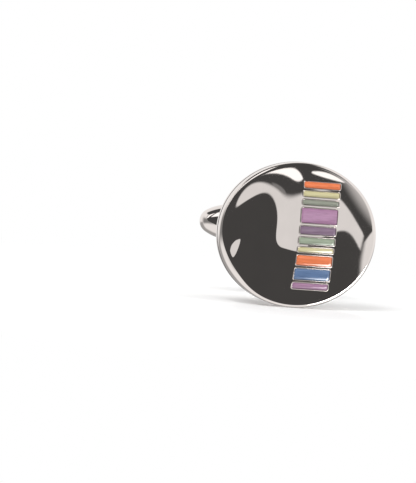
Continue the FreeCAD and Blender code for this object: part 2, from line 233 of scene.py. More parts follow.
def turned_piece(
    name: str, profile: Array, axis: Axis, ends: Pair, steps: int, base: Triple = (0.0, 0.0, 0.0)
) -> Piece:
    """A profile carried round a circle, as (r cos t, r sin t, height), and closed by poles on its axis.

    Args:
        name: Name of the piece.
        profile: Radius and height, one pair to a row.
        axis: Axis that it is turned about.
        ends: Heights of the first and last pole.
        steps: Points round the circle.
        base: Place of the profile's origin.

    Returns:
        The new object.
    """
    cos, sin = circle(steps).T
    radius, height = profile.T[..., None]
    rings = np.stack(np.broadcast_arrays(radius * cos, radius * sin, height), -1)
    first, last = (np.array([0, 0, end])[axis.value] + base for end in ends)
    return Skin().rings(rings[..., axis.value] + base, (first, last)).build(name, FINE_CREASE_DEG)


def corner_arc(centre: Pair, radius: float, start_deg: float, end_deg: float, steps: int) -> Array:
    """Points on an arc: centre + radius * (cos t, sin t), for t from start to end."""
    turn = np.radians(np.linspace(start_deg, end_deg, steps))
    return np.array(centre) + radius * np.stack([np.cos(turn), np.sin(turn)], -1)


def rounded_rectangle(size: Pair, corner: float, steps: tuple[int, int]) -> tuple[Array, Array]:
    """A round-cornered rectangle about the origin, with its outward normals.

    Four quarter arcs, each c + corner * n, are joined by straight runs that are divided evenly.

    Args:
        size: Full size along both axes.
        corner: Corner radius.
        steps: Points on each quarter arc, and those added on each straight run.

    Returns:
        The points and their outward unit normals, both n by 2.
    """
    arc_steps, side_steps = steps
    signs = np.array([(1, 1), (-1, 1), (-1, -1), (1, -1)], float)
    centres = signs * (np.array(size) / 2 - corner)
    turn = np.radians(np.linspace(0, 90, arc_steps)) + np.radians([0, 90, 180, 270])[:, None]
    normals = np.stack([np.cos(turn), np.sin(turn)], -1)
    arcs = centres[:, None] + corner * normals
    share = (np.arange(1, side_steps + 1) / (side_steps + 1))[:, None]
    ends = np.roll(arcs[:, 0], -1, axis=0)
    runs = arcs[:, -1:] * (1 - share) + ends[:, None] * share
    run_normals = np.broadcast_to(normals[:, -1:], runs.shape)
    points = np.concatenate([arcs, runs], 1).reshape(-1, 2)
    return points, np.concatenate([normals, run_normals], 1).reshape(-1, 2)


@dataclass(frozen=True)
class Grain:
    """Fractal noise: the factor on each axis, where a small one draws it out, cells to a mm and octaves."""

    stretch: Triple
    scale: float
    detail: float


@dataclass(frozen=True)
class Tree:
    """A node tree with the few steps that the finishes share."""

    nodes: bpy.types.Nodes
    links: bpy.types.NodeLinks

    def fill(self, node: bpy.types.Node, inputs: dict[str | int, object]) -> None:
        """Links a node's inputs to their sources, or sets them to plain values.

        Args:
            node: The node.
            inputs: Sources and values, by the input's name or number.
        """
        for name, value in inputs.items():
            if isinstance(value, Socket):
                self.links.new(value, node.inputs[name])
            else:
                node.inputs[name].default_value = value

    def node(self, kind: str, inputs: dict[str | int, object], **settings: str) -> bpy.types.NodeOutputs:
        """Adds a shader node.

        Args:
            kind: Type of node.
            inputs: Sources and values of its inputs.
            settings: Its properties.

        Returns:
            Its outputs.
        """
        made = self.nodes.new("ShaderNode" + kind)
        for name, value in settings.items():
            setattr(made, name, value)
        self.fill(made, inputs)
        return made.outputs

    def place(self) -> Socket:
        """Object coordinates, in metres."""
        return self.node("TexCoord", {})["Object"]

    def axes(self, vector: Socket) -> list["Signal"]:
        """A vector's three coordinates."""
        split = self.node("SeparateXYZ", {"Vector": vector})
        return [Signal(self, split[axis]) for axis in "XYZ"]

    def noise(self, grain: Grain) -> Socket:
        """Noise on Object coordinates."""
        at = self.node("Mapping", {"Vector": self.place(), "Scale": np.divide(grain.stretch, MM)})["Vector"]
        return self.node("TexNoise", {"Vector": at, "Scale": grain.scale, "Detail": grain.detail})["Fac"]

    def spread(self, source: Socket, low: float, high: float) -> Socket:
        """Maps the middle of a noise on to low to high."""
        ends = dict(zip(("From Min", "From Max", "To Min", "To Max"), (*NOISE_MIDDLE, low, high)))
        return self.node("MapRange", {"Value": source, **ends})["Result"]

    def mix(self, share: Socket, first: Socket | Rgba, second: Rgba) -> Socket:
        """A colour that runs from the first to the second by a share from 0 to 1."""
        inputs = {"Factor": share, MIX_FIRST: first, MIX_SECOND: second}
        return self.node("Mix", inputs, data_type="RGBA")[MIX_RESULT]

    def blend(self, source: Socket, colour: Triple, tones: Pair) -> Socket:
        """A colour that runs from its first to its second tone with the middle of a noise."""
        low, high = ((*(min(1.0, channel * tone) for channel in colour), 1) for tone in tones)
        return self.mix(self.spread(source, 0, 1), low, high)

    def bump(self, source: Socket, height_mm: float) -> Socket:
        """Surface relief of a given height."""
        return self.node("Bump", {"Height": source, "Distance": height_mm * MM})["Normal"]


@dataclass
class Signal:
    """A number in a node tree, with arithmetic that adds the nodes for it."""

    tree: Tree
    socket: Socket | float

    def _with(self, operation: str, other: "Signal | float") -> "Signal":
        """A Math node on this signal and another one or a number."""
        inputs = {0: self.socket, 1: other.socket if isinstance(other, Signal) else other}
        return Signal(self.tree, self.tree.node("Math", inputs, operation=operation)[0])

    __add__ = partialmethod(_with, "ADD")
    __sub__ = partialmethod(_with, "SUBTRACT")
    __mul__ = partialmethod(_with, "MULTIPLY")
    __truediv__ = partialmethod(_with, "DIVIDE")
    at_least = partialmethod(_with, "MAXIMUM")
    at_most = partialmethod(_with, "MINIMUM")
    to_power = partialmethod(_with, "POWER")
    size = partialmethod(_with, "ABSOLUTE", 0.0)

    def __rsub__(self, other: float) -> "Signal":
        """A number less this signal."""
        return Signal(self.tree, other) - self

    def above(self, edge: float, soft: float) -> "Signal":
        """0 below an edge and 1 above it, with a smooth step as wide as twice soft."""
        inputs = {"Value": self.socket, "From Min": edge - soft, "From Max": edge + soft}
        return Signal(self.tree, self.tree.node("MapRange", inputs, interpolation_type="SMOOTHSTEP")[0])

    def between(self, low: float, high: float, soft: float) -> "Signal":
        """1 between two edges, with smooth steps."""
        return self.above(low, soft) - self.above(high, soft)


def new_material(name: str) -> tuple[Material, Tree, bpy.types.Node]:
    """A fresh node material.

    Args:
        name: Name of the finish.

    Returns:
        The material, its node tree and its Principled shader.
    """
    material = bpy.data.materials.new(name)
    material.use_nodes = True
    tree = Tree(material.node_tree.nodes, material.node_tree.links)
    return material, tree, tree.nodes["Principled BSDF"]


@dataclass(frozen=True)
class PolishedMetal:
    """Mirror-polished plating, a little warm, with polishing haze, hair-fine wiping marks and painted shade
    in the seam groove.
    """

    name: str = "polished_metal"
    colour: Triple = (0.84, 0.78, 0.745)
    tones: Pair = (0.97, 1.02)
    haze: Pair = (0.012, 0.03)
    cloud: Grain = Grain((1, 1, 1), 0.35, 3)
    marks: Grain = Grain((0.5, 1, 3), 9, 2)
    marks_mm: float = 0.00006
    # Painted shade: a near-black colour laid into the groove between the shell and the back plate.
    painted_seam_shade: Rgba = (0.05, 0.042, 0.038, 1)
    seam_y: float = -0.9
    seam_shade_middle: float = 0.14
    seam_shade_soft: float = 0.06

    def material(self) -> Material:
        """Builds the node material.

        Returns:
            The material.
        """
        made, tree, shader = new_material(self.name)
        marks = tree.noise(self.marks)
        plating = tree.blend(tree.noise(self.cloud), self.colour, self.tones)
        inputs = {
            "Metallic": 1,
            # Near the seam's plane the plating's colour gives way to the painted seam shade.
            "Base Color": tree.mix(self.seam(tree), plating, self.painted_seam_shade),
            "Roughness": tree.spread(marks, *self.haze),
            "Normal": tree.bump(marks, self.marks_mm),
        }
        tree.fill(shader, inputs)
        return made

    def seam(self, tree: Tree) -> Socket:
        """Mask of the painted seam shade: 1 near the seam's plane, in Object coordinates, and 0 past a smooth
        step on both sides of it.
        """
        away = (tree.axes(tree.place())[1] - self.seam_y * MM).size()
        return (1.0 - away.above(self.seam_shade_middle * MM, self.seam_shade_soft * MM)).socket


@dataclass(frozen=True)
class SpringSteel:
    """Rolled spring strip: satin, with grain along its length."""

    name: str = "spring_steel"
    colour: Triple = (0.50, 0.49, 0.47)
    tones: Pair = (0.9, 1.1)
    gloss: Pair = (0.22, 0.40)
    grain: Grain = Grain((0.3, 8, 8), 2.5, 3)
    grain_mm: float = 0.0006

    def material(self) -> Material:
        """Builds the node material.

        Returns:
            The material.
        """
        made, tree, shader = new_material(self.name)
        grain = tree.noise(self.grain)
        inputs = {
            "Metallic": 1,
            "Base Color": tree.blend(grain, self.colour, self.tones),
            "Roughness": tree.spread(grain, *self.gloss),
            "Normal": tree.bump(grain, self.grain_mm),
        }
        tree.fill(shader, inputs)
        return made


@dataclass(frozen=True)
class EnamelFinish:
    """Cold enamel: glossy, with streaks along the bar from stoning and a faintly wavy surface."""

    colour: Enamel
    tones: Pair = (0.90, 1.08)
    gloss: Pair = (0.10, 0.20)
    streaks: Grain = Grain((0.35, 1, 2.6), 2.2, 4)
    waves: Grain = Grain((0.8, 1, 1.6), 1.1, 1)
    waves_mm: float = 0.012
    ior: float = 1.5
    coat: float = 1.0
    coat_roughness: float = 0.06

    def material(self) -> Material:
        """Builds the node material.

        Returns:
            The material.
        """
        made, tree, shader = new_material(self.colour.slot)
        streaks = tree.noise(self.streaks)
        inputs = {
            "Base Color": tree.blend(streaks, self.colour.colour, self.tones),
            "Roughness": tree.spread(streaks, *self.gloss),
            "Normal": tree.bump(tree.noise(self.waves), self.waves_mm),
            "IOR": self.ior,
            "Coat Weight": self.coat,
            "Coat Roughness": self.coat_roughness,
        }
        tree.fill(shader, inputs)
        return made


@dataclass(frozen=True)
class Face:
    """The head's front: a shallow dome, a broad swell and a thumb scoop beside the row of bars."""

    half_width: float = 9.5
    half_height: float = 8.55
    edge_height: float = 2.1
    crown_rise: float = 0.89
    shoulder_drop: float = 0.06
    swell_rise: float = 0.57
    swell_reach: float = 4.96
    swell_offset: float = 1.79
    swell_drop: float = 2.82
    scoop_depth: float = 0.63
    scoop_width: float = 1.65
    scoop_length: float = 3.33
    scoop_offset: float = 6.51
    scoop_drop: float = 0.55
    scoop_lean_deg: float = 15.4

    def height(self, x: Array, z: Array) -> Array:
        """How far the face stands in front of the head's back face.

        Dome = (rise - shoulder * r2) * (1 - r2), with r2 = x2/a2 + z2/b2. Swell = rise * exp(-d2 / reach2).
        Scoop = depth * exp(-(across / width)2 - (along / length)2), its length leaning from upright.

        Args:
            x: Places along the long axis.
            z: Places up the row.

        Returns:
            The heights, in the shape of x and z.
        """
        r2 = (x / self.half_width) ** 2 + (z / self.half_height) ** 2
        dome = (self.crown_rise - self.shoulder_drop * r2) * (1 - r2)
        away = (x + self.swell_offset) ** 2 + (z + self.swell_drop) ** 2
        swell = self.swell_rise * np.exp(-away / self.swell_reach**2)
        lean = math.radians(self.scoop_lean_deg)
        side = x + self.scoop_offset
        up = z + self.scoop_drop
        across = (side * math.cos(lean) - up * math.sin(lean)) / self.scoop_width
        along = (side * math.sin(lean) + up * math.cos(lean)) / self.scoop_length
        return self.edge_height + dome + swell - self.scoop_depth * np.exp(-(across**2) - along**2)

    def points(self, x: Array, z: Array, lift: Array | float = 0.0) -> Array:
        """Places on the face, raised by lift: (x, -(height + lift), z)."""
        return np.stack([x, -(self.height(x, z) + lift), z], -1)

    def outline(self, steps: int) -> tuple[Array, Array]:
        """The oval, (a cos t, b sin t), and its outward normals, (cos t / a, sin t / b) made unit length.

        Args:
            steps: Points round the oval.

        Returns:
            The points and the normals, as (x, z).
        """
        half = (self.half_width, self.half_height)
        normal = circle(steps) / half
        return circle(steps) * half, normal / np.linalg.norm(normal, axis=1, keepdims=True)


@dataclass(frozen=True)
class Bar:
    """One enamel bar of the row."""

    node: str
    enamel: Enamel
    height: float


BARS = (
    Bar("enamel_01_orange", Enamel.ORANGE, 0.66),
    Bar("enamel_02_straw", Enamel.STRAW, 0.60),
    Bar("enamel_03_sage", Enamel.SAGE, 0.54),
    Bar("enamel_04_lilac", Enamel.LILAC, 1.70),
    Bar("enamel_05_plum", Enamel.PLUM, 0.88),
    Bar("enamel_06_green", Enamel.GREEN, 0.74),
    Bar("enamel_07_straw", Enamel.STRAW, 0.54),
    Bar("enamel_08_orange", Enamel.ORANGE, 1.14),
    Bar("enamel_09_blue", Enamel.BLUE, 1.29),
    Bar("enamel_10_lilac", Enamel.LILAC, 0.67),
)


@dataclass
class EnamelRow:
    """The row of bars: a raised frame round each cell, and the crowned enamel that fills it."""

    face: Face
    bar_length: float = 4.39
    bar_gap: float = 0.42
    corner: float = 0.14
    row_offset: float = 2.0
    row_rise: float = 0.10
    row_lean_deg: float = 2.2
    frame_width: float = 0.14
    frame_rise: float = 0.14
    root_depth: float = 0.12
    enamel_lip: float = 0.03
    enamel_proud: float = 0.14
    enamel_root: float = 0.25
    enamel_slump: float = 0.50
    crown_edge: float = 0.30
    end_power: int = 30
    frame_steps: tuple[int, int] = (7, 22)
    pad_steps: tuple[int, int] = (65, 25)

    def centres(self) -> list[Pair]:
        """The bars' centres, from the top of the row down: each stands below the last, the row leaning.

        Returns:
            Places across and up the face.
        """
        heights = np.array([bar.height for bar in BARS])
        tops = (heights.sum() + self.bar_gap * (len(BARS) - 1)) / 2 + self.row_rise
        middles = tops - np.cumsum(heights + self.bar_gap) + self.bar_gap + heights / 2
        across = self.row_offset + middles * math.tan(math.radians(self.row_lean_deg))
        return list(zip(across.tolist(), middles.tolist()))

    def add_frames(self, skin: Skin) -> None:
        """Adds each cell's frame: a half-round ridge carried round a round-cornered rectangle on the face.

        Out from the cell by e and up by rise * sqrt(1 - (2 e / width - 1)2), with its root below the face.

        Args:
            skin: The head's skin.
        """
        ridge = np.linspace(0, np.pi, ARC_STEPS)
        out = self.frame_width * (1 - np.cos(ridge)) / 2
        out = np.concatenate([[0], out, [self.frame_width]])[:, None]
        lift = self.frame_rise * np.sin(ridge)
        lift = np.concatenate([[-self.root_depth], lift, [-self.root_depth]])[:, None]
        for bar, (x, z) in zip(BARS, self.centres()):
            path, normal = rounded_rectangle((self.bar_length, bar.height), self.corner, self.frame_steps)
            along = x + path[:, 0] + out * normal[:, 0]
            up = z + path[:, 1] + out * normal[:, 1]
            skin.rings(self.face.points(along, up, lift))

    def build(self) -> None:
        """Builds each bar's enamel as a closed pad and dresses it."""
        finishes = {colour: EnamelFinish(colour).material() for colour in Enamel}
        for bar, centre in zip(BARS, self.centres()):
            pad = Skin().slab(*self.pad(bar, centre)).build(bar.node + "_fill")
            dress(pad, finishes[bar.enamel], Body.HEAD, bar.node)

    def pad(self, bar: Bar, centre: Pair) -> tuple[Array, Array]:
        """One bar's enamel, u across and v up from -1 to 1.

        z = v h / 2 and x = u times the round-cornered half length at that z. The top stands above the face by
        lip + (proud - lip) (1 - u^end_power) (1 - v^p), with p = h / crown_edge, and the bottom lies at an
        even depth below it. Along the lower edge p falls by slump from left to right, as poured enamel sags.

        Args:
            bar: The bar.
            centre: Its place on the face.

        Returns:
            The top and bottom grids.
        """
        u, v = np.meshgrid(*(np.sin(np.linspace(-np.pi / 2, np.pi / 2, steps)) for steps in self.pad_steps))
        half_height = bar.height / 2
        into = np.clip(np.abs(v) * half_height - (half_height - self.corner), 0, self.corner)
        reach = self.bar_length / 2 - self.corner + np.sqrt(self.corner**2 - into**2)
        x = centre[0] + u * reach
        z = centre[1] + v * half_height
        power = bar.height / self.crown_edge * (1 - self.enamel_slump * (u + 1) / 2 * (v < 0))
        crown = (1 - np.abs(u) ** self.end_power) * (1 - np.abs(v) ** power)
        lift = self.enamel_lip + (self.enamel_proud - self.enamel_lip) * crown
        return self.face.points(x, z, lift), self.face.points(x, z, -self.enamel_root)


@dataclass
class Head:
    """The head: front shell with its rolled edge and frames, and the back plate behind the seam."""

    face: Face
    row: EnamelRow
    metal: Material
    front_round: float = 0.55
    soft_round: float = 0.60
    soft_turn_deg: float = 213.0
    soft_spread_deg: float = 20.0
    seam_round: float = 0.20
    back_round: float = 0.35
    plate: float = 0.9
    foot_hole: float = 2.63
    probe: float = 0.01
    probe_rounds: int = 6
    steps: int = 320
    face_rings: int = 96
    roll_rings: int = 18
    band_shares: Triple = (0.3, 0.6, 0.9)
    seam_rings: int = 8
    rear_rings: int = 12

    def build(self) -> None:
        """Builds and dresses the shell and the back plate."""
        shell = Skin().rings(*self.shell_rings())
        self.row.add_frames(shell)
        dress(shell.build("head_front"), self.metal, Body.HEAD, "head_shell")
        plate = Skin().rings(self.plate_rings())
        dress(plate.build("head_back"), self.metal, Body.HEAD, "back_plate")

    def ring(self, inset: Array, depth: Array) -> Array:
        """Rings that follow the oval: the outline less inset times its normal, at y = -depth.

        Args:
            inset: Ways in from the outline, a row to a ring.
            depth: Ways in front of the head's back, a row to a ring.

        Returns:
            Rings by points by three coordinates.
        """
        edge, normal = self.face.outline(self.steps)
        flat = edge - inset[..., None] * normal
        return np.stack([flat[..., 0], np.broadcast_to(-depth, flat.shape[:2]), flat[..., 1]], -1)

    def quarter(self, radius: float, level: float, side: int, rings: int) -> Array:
        """A quarter round from wall to flat: inset r (1 - cos t), and depth level + side r (1 - sin t)."""
        turn = np.linspace(0, np.pi / 2, rings)[:, None]
        return self.ring(radius * (1 - np.cos(turn)), level + side * radius * (1 - np.sin(turn)))

    def edge_round(self) -> Array:
        """The rolled edge's radius round the oval: round + soft * exp(-(t - turn)2 / spread2)."""
        turn = np.linspace(0, 360, self.steps, endpoint=False) - self.soft_turn_deg
        return self.front_round + self.soft_round * np.exp(-((turn / self.soft_spread_deg) ** 2))

    def shell_rings(self) -> tuple[Array, tuple[Array, Array]]:
        """The shell from the middle of the face out over the rolled edge to the seam, and a flat closing it.

        The rolled edge is an arc of radius r that leaves the face at its outward slope p and ends on the
        wall: inset = r (1 - sin t) and height = foot + r cos t, for t from p to a right angle.

        Returns:
            The rings, and the poles on the face and on the flat.
        """
        edge, normal = self.face.outline(self.steps)
        radius = self.edge_round()
        slope = np.zeros(self.steps)
        for _ in range(self.probe_rounds):
            rim = edge - (radius * (1 - np.sin(slope)))[:, None] * normal
            inner = rim - self.probe * normal
            slope = np.arctan((self.face.height(*inner.T) - self.face.height(*rim.T)) / self.probe)
        share = np.linspace(0, 1, self.face_rings + 1)[1:, None]
        front = self.face.points(share * rim[:, 0], share * rim[:, 1])
        foot = self.face.height(*rim.T) - radius * np.cos(slope)
        turn = slope + (np.pi / 2 - slope) * np.linspace(0, 1, self.roll_rings + 1)[1:, None]
        rolled = self.ring(radius * (1 - np.sin(turn)), foot + radius * np.cos(turn))
        share = np.array(self.band_shares)[:, None]
        band = self.ring(np.zeros(share.shape), foot + (self.plate + self.seam_round - foot) * share)
        seam = self.quarter(self.seam_round, self.plate, 1, self.seam_rings)
        pole = self.face.points(np.array(0.0), np.array(0.0))
        return np.concatenate([front, rolled, band, seam]), (pole, np.array([0, -self.plate, 0]))

    def plate_rings(self) -> Array:
        """The plate's rings: round the hole's front, seam edge, band, rear edge and the hole's back.

        Returns:
            The rings, the last of which joins the first.
        """
        seam = self.quarter(self.seam_round, self.plate, -1, self.seam_rings)[::-1]
        rear = self.quarter(self.back_round, 0.0, 1, self.rear_rings)
        cos, sin = circle(self.steps).T
        hole = self.foot_hole * np.stack([cos, np.zeros(self.steps), sin], -1)
        front_hole = hole - np.array([0, self.plate, 0])
        return np.concatenate([front_hole[None], seam, rear, hole[None]])


@dataclass
class Post:
    """The post: a turned foot with a collar, and the flat stem that carries the pivot."""

    metal: Material
    boss_radius: float = 2.6
    flange_radius: float = 3.7
    foot_front: float = 1.7
    flange_back: float = 1.25
    collar_height: float = 0.9
    collar_round: float = 0.3
    flare_half: float = 2.0
    flare_end: float = 3.4
    flare_power: float = 1.6
    tongue_half: float = 1.2
    tongue_thickness: float = 1.6
    cam_round: float = 0.9
    stem_end: float = 13.5
    edge_round: float = 0.16
    foot_steps: int = 160
    flare_rings: int = 24
    tongue_rings: int = 10
    cam_rings: int = 16
    edge_steps: tuple[int, int] = (6, 6)

    def build(self) -> None:
        """Builds and dresses the foot and the stem."""
        dress(self.foot(), self.metal, Body.HEAD, "post_foot")
        dress(self.stem(), self.metal, Body.HEAD, "post_stem")

    def foot(self) -> Piece:
        """The foot: its side turned about the post's axis, with a rounded rear edge.

        Returns:
            The new object.
        """
        centre = (self.boss_radius - self.collar_round, self.collar_height - self.collar_round)
        side = [
            (self.flange_radius, -self.foot_front),
            (self.flange_radius, -self.flange_back),
            (self.boss_radius, -self.flange_back),
            (self.boss_radius, 0),
        ]
        profile = np.concatenate([side, corner_arc(centre, self.collar_round, 0, 90, ARC_STEPS)])
        ends = (-self.foot_front, self.collar_height)
        return turned_piece("post_collar", profile, Axis.Y, ends, self.foot_steps)

    def stem(self) -> Piece:
        """The stem: a round-edged rectangle carried back along the post.

        Its half width eases from flare to tongue as (1 - s)^flare_power and closes on the cam's round end.
        The section's round edges keep their size, and only the flats stretch.

        Returns:
            The new object.
        """
        flare = np.linspace(self.collar_height, self.flare_end, self.flare_rings)
        cam = self.stem_end - self.cam_round * (1 - np.sin(np.linspace(0, np.pi / 2, self.cam_rings)))
        y = np.concatenate([flare, np.linspace(self.flare_end, cam[0], self.tongue_rings + 2)[1:-1], cam])
        share = np.clip((y - self.collar_height) / (self.flare_end - self.collar_height), 0, 1)
        half = self.tongue_half + (self.flare_half - self.tongue_half) * (1 - share) ** self.flare_power
        into = np.clip(y - cam[0], 0, self.cam_round)
        half = (half - self.cam_round + np.sqrt(self.cam_round**2 - into**2))[:, None]
        path, _ = rounded_rectangle((2, self.tongue_thickness), self.edge_round, self.edge_steps)
        across, up = path.T
        edges = np.sign(across) * (half - (1 - np.abs(across)))
        flats = across * (half - self.edge_round)
        sides = np.where(np.abs(across) > 1 - self.edge_round, edges, flats)
        rings = np.stack(np.broadcast_arrays(sides, y[:, None], up), -1)
        poles = (np.array([0, self.collar_height, 0]), np.array([0, self.stem_end, 0]))
        return Skin().rings(rings, poles).build("post_tongue", FINE_CREASE_DEG)


@dataclass
class Toggle:
    """The swivel toggle: a bullet-nosed slotted bar, its pivot pin, leaf spring and the spring's rivet."""

    metal: Material
    steel: Material
    pivot: float = 12.3
    half_length: float = 8.6
    radius: float = 2.10026
    nose_length: float = 3.6
    nose_tip: float = 1.5
    slot_half: float = 0.9
    slot_floor: float = 1.584
    soft_edge: float = 0.07
    soft_angle_deg: float = 40.0
    cut_crease_deg: float = 30.0
    pin_radius: float = 0.55
    pin_half: float = 2.007
    pin_dome: float = 0.1
    pin_dome_power: float = 0.5
    rivet_place: float = -3.5
    rivet_radius: float = 0.35
    hole_gap: float = 0.01
    hole_start: float = 0.3
    hole_end: float = 3.0
    spring_face: float = 1.364
    rivet_head: float = 0.55
    rivet_head_height: float = 0.2
    rivet_dome_power: float = 0.7
    rivet_end: float = 2.05
    rivet_tail: float = 0.06
    rivet_tail_share: float = 0.8
    bar_steps: int = 144
    pin_steps: int = 64
    rivet_steps: int = 48
    nose_steps: int = 24
    flank_rings: int = 28

    def build(self) -> None:
        """Builds and dresses the bar, the pin and the rivet, and dresses the CAD spring."""
        dress(self.bar(), self.metal, Body.TOGGLE, "toggle_bar")
        dress(self.pin(), self.metal, Body.TOGGLE, "pivot_pin")
        dress(self.rivet(), self.steel, Body.TOGGLE, "spring_rivet")
        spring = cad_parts["leaf_spring"]
        spring.data.materials.clear()
        spring.data.materials.append(self.steel)
        LOG.info("leaf_spring: CAD node in %s", self.steel.name)

    def base(self, x: float = 0.0) -> Triple:
        """A place on the bar's axis."""
        return (x, self.pivot, 0.0)

    def nose(self) -> Array:
        """The left nose's side as (radius, x): a tip arc on the axis, run into the flank by a shoulder arc.

        With R the bar's radius, L the nose's length and r the tip's radius, the shoulder's radius is
        ((L - r)2 + R2 - r2) / (2 (R - r)), which makes the two arcs touch.

        Returns:
            The points from just past the tip to the flank.
        """
        reach = self.nose_length - self.nose_tip
        spare = self.radius - self.nose_tip
        shoulder = (reach**2 + self.radius**2 - self.nose_tip**2) / (2 * spare)
        meet = 90 + math.degrees(math.atan2(reach, shoulder - self.radius))
        tip = corner_arc((self.nose_tip - self.half_length, 0), self.nose_tip, 180, meet, self.nose_steps)
        foot = (self.nose_length - self.half_length, self.radius - shoulder)
        flank = corner_arc(foot, shoulder, meet, 90, self.nose_steps)
        return np.concatenate([tip[1:], flank[1:]])[:, ::-1]

    def bar(self) -> Piece:
        """The bar: turned about X between two like noses, with the slot and two holes cut away.

        Returns:
            The new object.
        """
        left = self.nose()
        flank = self.half_length - self.nose_length
        places = np.linspace(-flank, flank, self.flank_rings + 2)[1:-1]
        middle = np.stack([np.full(self.flank_rings, self.radius), places], -1)
        profile = np.concatenate([left, middle, left[::-1] * np.array([1, -1])])
        ends = (-self.half_length, self.half_length)
        blank = turned_piece("toggle_body", profile, Axis.X, ends, self.bar_steps, self.base())
        self.carve(blank)
        soft = blank.modifiers.new("soft_edges", "BEVEL")
        soft.width = self.soft_edge * MM
        soft.segments = 2
        soft.limit_method = "ANGLE"
        soft.angle_limit = math.radians(self.soft_angle_deg)
        return blank

    def carve(self, blank: Piece) -> None:
        """Cuts each cutter out of the blank, keeps the result as its mesh and removes the cutters.

        Args:
            blank: The bar before cutting.
        """
        cutters = self.cutters()
        for cutter in cutters:
            step = blank.modifiers.new(cutter.name, "BOOLEAN")
            step.operation = "DIFFERENCE"
            step.solver = "EXACT"
            step.object = cutter
        graph = bpy.context.evaluated_depsgraph_get()
        graph.update()
        mesh = bpy.data.meshes.new_from_object(blank.evaluated_get(graph))
        blank.modifiers.clear()
        blank.data = mesh
        mesh.shade_smooth()
        mesh.set_sharp_from_angle(angle=math.radians(self.cut_crease_deg))
        for cutter in cutters:
            bpy.data.objects.remove(cutter)

    def cutters(self) -> list[Piece]:
        """What the bar is cut with.

        Returns:
            The slot from the left shoulder out past the right nose, and the holes of the pin and the rivet.
        """
        left = self.nose_length - self.half_length
        right = self.half_length + 1
        half = self.slot_half
        corners = [(left, -half), (right, -half), (right, half), (left, half)]
        levels = (self.pivot - 2 * self.radius, self.pivot + self.slot_floor)
        rings = np.array([[(x, level, z) for x, z in corners] for level in levels])
        slot = Skin().rings(rings, tuple(rings.mean(1))).build("slot")
        ends = (-self.hole_end, self.hole_end)
        side = np.array([(self.pin_radius + self.hole_gap, end) for end in ends])
        pin_hole = turned_piece("pin_hole", side, Axis.Z, ends, self.pin_steps, self.base())
        ends = (self.slot_floor - self.hole_start, self.hole_end)
        side = np.array([(self.rivet_radius + self.hole_gap, end) for end in ends])
        place = self.base(self.rivet_place)
        return [slot, pin_hole, turned_piece("rivet_hole", side, Axis.Y, ends, self.rivet_steps, place)]

    def pin(self) -> Piece:
        """The pivot pin, turned about Z, its ends slightly domed.

        Returns:
            The new object.
        """
        dome = np.linspace(0, np.pi / 2, ARC_STEPS)[:-1]
        across = self.pin_radius * np.cos(dome) ** self.pin_dome_power
        end = np.stack([across, self.pin_half - self.pin_dome + self.pin_dome * np.sin(dome)], -1)
        profile = np.concatenate([end[::-1] * np.array([1, -1]), end])
        ends = (-self.pin_half, self.pin_half)
        return turned_piece("pivot_pin_turned", profile, Axis.Z, ends, self.pin_steps, self.base())

    def rivet(self) -> Piece:
        """The spring's rivet, turned about Y: a domed head on the spring and a shank to the bar's back.

        Returns:
            The new object.
        """
        dome = np.linspace(0, np.pi / 2, ARC_STEPS)[1:]
        across = self.rivet_head * np.sin(dome) ** self.rivet_dome_power
        head = np.stack([across, self.spring_face - self.rivet_head_height * np.cos(dome)], -1)
        shank = [
            (self.rivet_radius, self.spring_face),
            (self.rivet_radius, self.rivet_end - self.rivet_tail),
            (self.rivet_radius * self.rivet_tail_share, self.rivet_end),
        ]
        ends = (self.spring_face - self.rivet_head_height, self.rivet_end)
        place = self.base(self.rivet_place)
        profile = np.concatenate([head, shank])
        return turned_piece("spring_rivet_turned", profile, Axis.Y, ends, self.rivet_steps, place)


@dataclass(frozen=True)
class Edge:
    """A card's upper or lower edge: v = level + tilt * u + bend * max(u - start, 0)2."""

    level: float
    tilt: float = 0.0
    bend: float = 0.0
    start: float = 0.0

    def over(self, u: Signal, v: Signal) -> Signal:
        """How far a direction lies above the edge."""
        past = (u - self.start).at_least(0.0)
        return v - self.level - u * self.tilt - past * past * self.bend


@dataclass(frozen=True)
class Card:
    """A reflector in front of the object, placed by u = x / -y and v = z / -y as seen from it."""

    left: float
    right: float
    low: Edge
    high: Edge
    level: float
    soft: float = 0.02
    corner: float = 0.0

    def light(self, u: Signal, v: Signal) -> Signal:
        """The card's light for a direction, its corners rounded.

        With d the ways in from its sides and its edges, corner - |max(corner - d, 0)| is 0 on its outline.

        Args:
            u: The direction's place across.
            v: Its place up.

        Returns:
            The light, with a smooth step there.
        """
        corner = max(self.corner, self.soft)
        across = (u - self.left).at_most(self.right - u)
        up = self.low.over(u, v).at_most(self.high.over(u, v) * -1.0)
        short = (corner - across).at_least(0.0)
        low = (corner - up).at_least(0.0)
        return (corner - (short * short + low * low).to_power(0.5)).above(0.0, self.soft) * self.level


@dataclass(frozen=True)
class Spot:
    """An oval in the same plane: ((u - middle) / half)^power and the same of v add up to less than 1."""

    middle: Pair
    half: Pair
    level: float
    soft: float = 0.15
    power: float = 2.0

    def light(self, u: Signal, v: Signal) -> Signal:
        """The oval's light for a direction, with a smooth step at its outline."""
        across, up = (((w - m) / h).to_power(self.power) for w, m, h in zip((u, v), self.middle, self.half))
        return (1.0 - across - up).above(0.0, self.soft) * self.level


@dataclass(frozen=True)
class Lamp:
    """A soft area lamp aimed at the object; metal shows the studio's cards instead of it."""

    name: str
    place: Triple
    size: float
    power: float

    def build(self) -> None:
        """Makes the lamp, in metres and watts."""
        data = bpy.data.lights.new(self.name, "AREA")
        data.shape = "DISK"
        data.size = self.size
        data.energy = self.power
        lamp = bpy.data.objects.new(self.name, data)
        lamp.location = self.place
        lamp.rotation_euler = (-Vector(self.place)).to_track_quat("-Z", "Y").to_euler()
        lamp.visible_glossy = False
        lamp.visible_camera = False
        bpy.context.scene.collection.objects.link(lamp)


